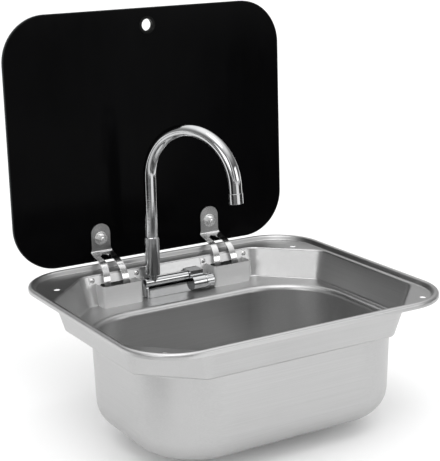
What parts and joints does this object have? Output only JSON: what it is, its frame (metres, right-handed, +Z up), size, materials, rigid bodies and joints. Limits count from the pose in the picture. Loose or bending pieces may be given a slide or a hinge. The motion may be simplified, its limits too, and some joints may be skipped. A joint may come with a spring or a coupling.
{
  "type": "rv sink with glass lid",
  "caption": "Drop-in stainless caravan sink with a hinged black glass lid, a folding swan-neck cold tap and a central waste.",
  "frame": {"origin": "centre of the rim in the plane of the worktop it rests on", "axes": "+X to the right, +Y to the rear where the lid is hinged, +Z up"},
  "size_m": [0.42, 0.3832, 0.499],
  "materials": {
    "stainless_satin": "satin",
    "stainless_polished": "polished",
    "chrome": "polished",
    "steel_dark": "satin",
    "brass": "satin",
    "glass_black": "glossy",
    "rubber_black": "matte",
    "plastic_black": "matte",
    "plastic_grey": "matte"
  },
  "bodies": {
    "sink": {"sink_bowl": "stainless_satin", "drain_strainer": "stainless_polished", "drain_screw": "stainless_polished", "drain_gasket": "rubber_black", "drain_body": "plastic_black", "hinge_housing_left": "stainless_satin", "hinge_housing_right": "stainless_satin", "hinge_pocket_left": "stainless_satin", "hinge_pocket_right": "stainless_satin", "hinge_rivets": "stainless_polished", "hinge_pin_left": "stainless_polished", "hinge_pin_right": "stainless_polished", "hinge_spacers": "plastic_grey", "tap_base": "chrome", "tap_gasket": "rubber_black", "tap_inlet_tail": "brass", "tap_fixing_stud": "brass", "tap_washers": "brass", "tap_lock_nuts": "brass", "tap_valve_cartridge": "brass"},
    "lid": {"glass_lid": "glass_black", "finger_hole_grommet": "plastic_black", "hinge_bracket_left": "stainless_polished", "hinge_bracket_right": "stainless_polished", "bracket_pads": "rubber_black", "lid_screws": "stainless_polished", "glass_bushes": "plastic_grey", "lid_back_washers": "rubber_black", "lid_front_washers": "stainless_polished", "lid_nuts": "stainless_polished"},
    "tap_fold": {"fold_hub": "chrome", "fold_pin": "steel_dark", "fold_o_ring": "rubber_black", "tap_collar": "chrome", "spout_grub_screw": "steel_dark"},
    "tap_spout": {"tap_spout": "chrome", "spout_o_rings": "rubber_black", "aerator_shell": "chrome", "aerator_insert": "plastic_grey"},
    "tap_knob": {"tap_knob": "chrome", "knob_screw": "steel_dark", "valve_stem": "brass"}
  },
  "joints": [
    {"name": "lid_hinge", "type": "hinge", "parent": "sink", "child": "lid", "pos_m": [0, 0.167, -0.0142], "axis": [1, 0, 0], "range_deg": [0, 91.1]},
    {"name": "tap_fold", "type": "hinge", "parent": "sink", "child": "tap_fold", "pos_m": [-0.032, 0.14, -0.0177], "axis": [1, 0, 0], "range_deg": [0, 90]},
    {"name": "tap_swivel", "type": "hinge", "parent": "tap_fold", "child": "tap_spout", "pos_m": [-0.032, 0.14, 0.04], "axis": [0, 0, 1], "range_deg": [-114, 66]},
    {"name": "tap_valve", "type": "hinge", "parent": "sink", "child": "tap_knob", "pos_m": [0.045, 0.131, -0.0265], "axis": [1, 0, 0], "range_deg": [-90, 0]}
  ],
  "couplings": [
    {"joint": "tap_fold", "follows": "lid_hinge", "ratio": 0.98791}
  ]
}
